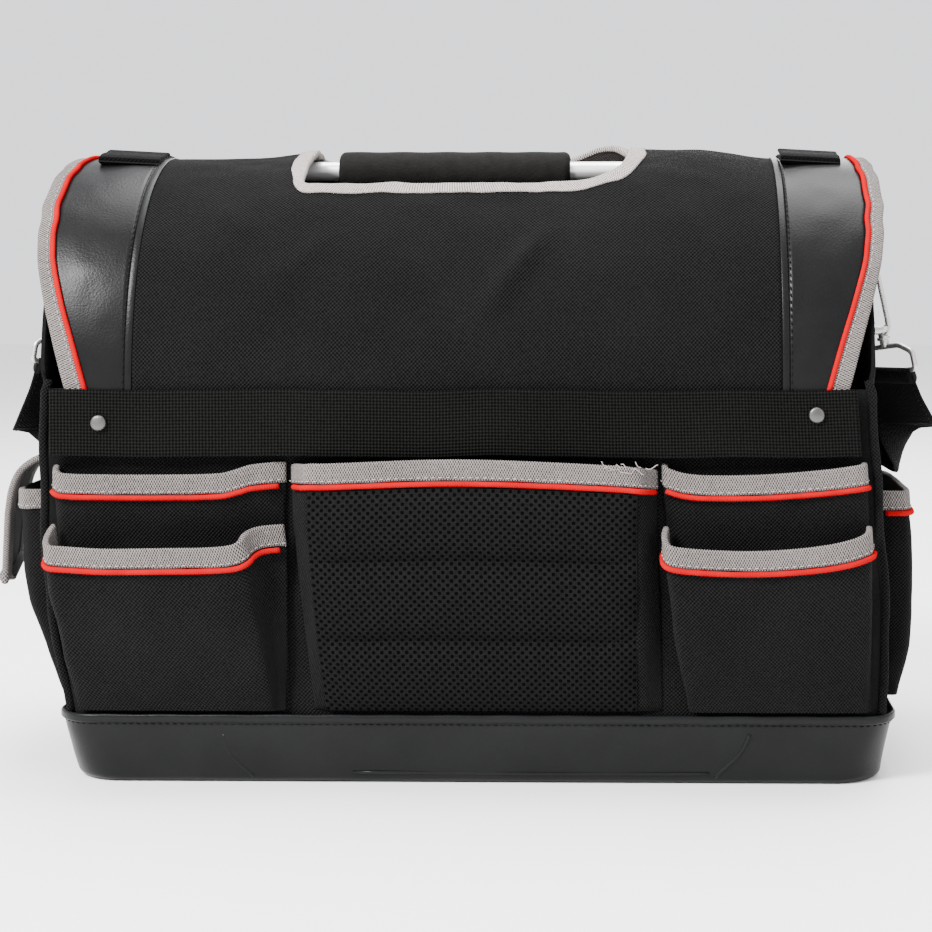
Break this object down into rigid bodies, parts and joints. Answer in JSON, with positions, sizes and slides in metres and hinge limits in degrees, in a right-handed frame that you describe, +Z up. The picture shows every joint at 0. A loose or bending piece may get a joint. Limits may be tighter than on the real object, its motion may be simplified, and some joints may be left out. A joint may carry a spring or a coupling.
{
  "type": "tool bag",
  "caption": "Soft tool bag with a domed cover, tube handle through a bound slot, bellows pockets, moulded base and clipped shoulder strap.",
  "frame": {"origin": "middle of the flat underside of the base", "axes": "+X to the right along the bag's length, +Y away from the side with the pockets, +Z up"},
  "size_m": [0.5907, 0.2877, 0.3721],
  "materials": {
    "moulded_base": "dark grey leatherette, pebbled, semi-matt",
    "canvas": "black coarse woven polyester canvas, matt",
    "leatherette": "dark grey leatherette, fine grain, semi-matt",
    "webbing": "black woven webbing",
    "spacer_mesh": "black padded spacer mesh",
    "grey_tape": "grey ribbed woven binding tape",
    "red_piping": "bright red cord piping, satin",
    "bright_tube": "bright polished tube",
    "foam": "black foam grip, matt",
    "steel": "nickel-plated steel, slightly dulled"
  },
  "bodies": {
    "bag": {"base_tray": "moulded_base", "base_welt": "moulded_base", "bag_floor": "canvas", "near_wall": "canvas", "far_wall": "canvas", "left_end_wall": "canvas", "right_end_wall": "canvas", "handle_frame": "bright_tube", "handle_grip": "foam", "cover_panel": "canvas", "slot_binding": "grey_tape", "cover_welt_left": "leatherette", "cover_strip_left": "leatherette", "cover_binding_left": "grey_tape", "cover_piping_left": "red_piping", "cover_welt_right": "leatherette", "cover_strip_right": "leatherette", "cover_binding_right": "grey_tape", "cover_piping_right": "red_piping", "cover_hem_binding": "grey_tape", "closing_strap_left": "webbing", "closing_strap_right": "webbing", "near_band": "webbing", "band_rivet_left": "steel", "band_rivet_right": "steel", "upper_left_pocket": "canvas", "upper_left_binding": "grey_tape", "upper_left_piping": "red_piping", "lower_left_pocket": "canvas", "lower_left_binding": "grey_tape", "lower_left_piping": "red_piping", "upper_right_pocket": "canvas", "upper_right_binding": "grey_tape", "upper_right_piping": "red_piping", "lower_right_pocket": "canvas", "lower_right_binding": "grey_tape", "lower_right_piping": "red_piping", "centre_pocket": "canvas", "centre_binding": "grey_tape", "centre_piping": "red_piping", "centre_pad": "spacer_mesh", "left_end_pocket": "canvas", "left_end_binding": "grey_tape", "right_end_pocket": "canvas", "right_end_binding": "grey_tape", "right_end_piping": "red_piping", "left_end_flap": "canvas", "left_flap_binding": "grey_tape", "ring_tab_left": "webbing", "d_ring_left": "steel", "snap_hook_left": "steel", "ring_tab_right": "webbing", "d_ring_right": "steel", "snap_hook_right": "steel", "shoulder_strap": "webbing"},
    "left_gate": {"hook_gate_left": "steel"},
    "right_gate": {"hook_gate_right": "steel"}
  },
  "joints": [
    {"name": "left_gate_hinge", "type": "hinge", "parent": "bag", "child": "left_gate", "pos_m": [-0.26124, 0, 0.26705], "axis": [0, -1, 0], "range_deg": [0, 13], "stiffness_Nm_per_rad": 0.01, "springref_deg": -17.19},
    {"name": "right_gate_hinge", "type": "hinge", "parent": "bag", "child": "right_gate", "pos_m": [0.24219, 0, 0.26127], "axis": [0, 1, 0], "range_deg": [0, 13], "stiffness_Nm_per_rad": 0.01, "springref_deg": -17.19}
  ]
}
